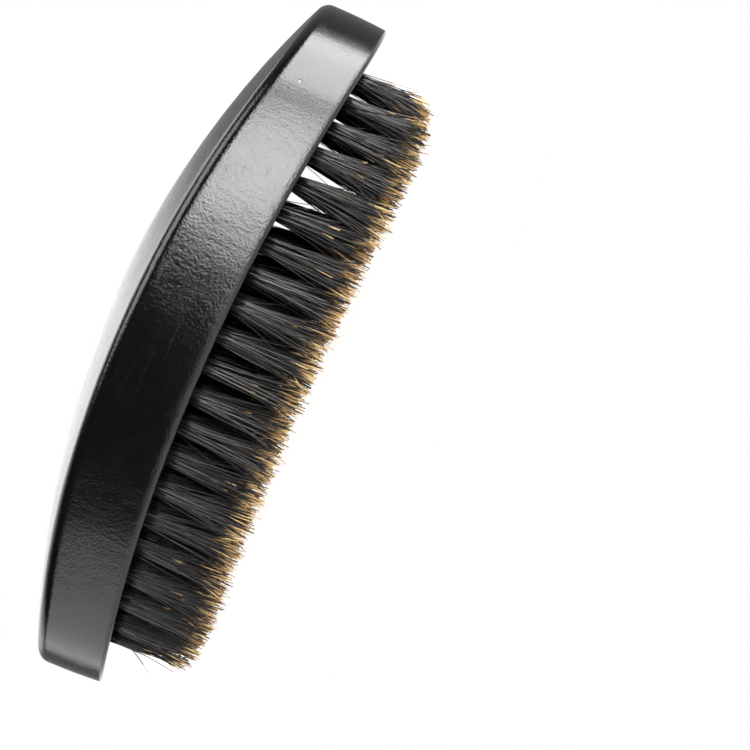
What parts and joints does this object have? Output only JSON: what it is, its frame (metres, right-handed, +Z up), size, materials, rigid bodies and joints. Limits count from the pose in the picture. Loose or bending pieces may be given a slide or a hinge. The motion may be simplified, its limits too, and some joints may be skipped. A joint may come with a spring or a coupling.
{
  "type": "beard brush",
  "caption": "Palm-held oval beard brush: arched black-lacquered wooden back with a crowned top and rows of trimmed boar-bristle tufts, each folded over a wire anchor.",
  "frame": {"origin": "middle of the footprint, on the plane that the bristle tips of the two end rows stand on", "axes": "+X along the brush, +Y across it, +Z up through the wooden back, away from the bristle"},
  "size_m": [0.125, 0.06, 0.0378],
  "materials": {
    "lacquered_wood": "gloss",
    "boar_bristle": "satin",
    "anchor_wire": "satin"
  },
  "bodies": {
    "root": {"body": "lacquered_wood", "tuft_row_01": "boar_bristle", "tuft_row_02": "boar_bristle", "tuft_row_03": "boar_bristle", "tuft_row_04": "boar_bristle", "tuft_row_05": "boar_bristle", "tuft_row_06": "boar_bristle", "tuft_row_07": "boar_bristle", "tuft_row_08": "boar_bristle", "tuft_row_09": "boar_bristle", "tuft_row_10": "boar_bristle", "tuft_row_11": "boar_bristle", "tuft_row_12": "boar_bristle", "tuft_row_13": "boar_bristle", "tuft_row_14": "boar_bristle", "tuft_row_15": "boar_bristle", "tuft_row_16": "boar_bristle", "tuft_row_17": "boar_bristle", "tuft_row_18": "boar_bristle", "tuft_row_19": "boar_bristle", "tuft_row_20": "boar_bristle", "tuft_row_21": "boar_bristle", "anchor_row_01": "anchor_wire", "anchor_row_02": "anchor_wire", "anchor_row_03": "anchor_wire", "anchor_row_04": "anchor_wire", "anchor_row_05": "anchor_wire", "anchor_row_06": "anchor_wire", "anchor_row_07": "anchor_wire", "anchor_row_08": "anchor_wire", "anchor_row_09": "anchor_wire", "anchor_row_10": "anchor_wire", "anchor_row_11": "anchor_wire", "anchor_row_12": "anchor_wire", "anchor_row_13": "anchor_wire", "anchor_row_14": "anchor_wire", "anchor_row_15": "anchor_wire", "anchor_row_16": "anchor_wire", "anchor_row_17": "anchor_wire", "anchor_row_18": "anchor_wire", "anchor_row_19": "anchor_wire", "anchor_row_20": "anchor_wire", "anchor_row_21": "anchor_wire"}
  },
  "joints": []
}
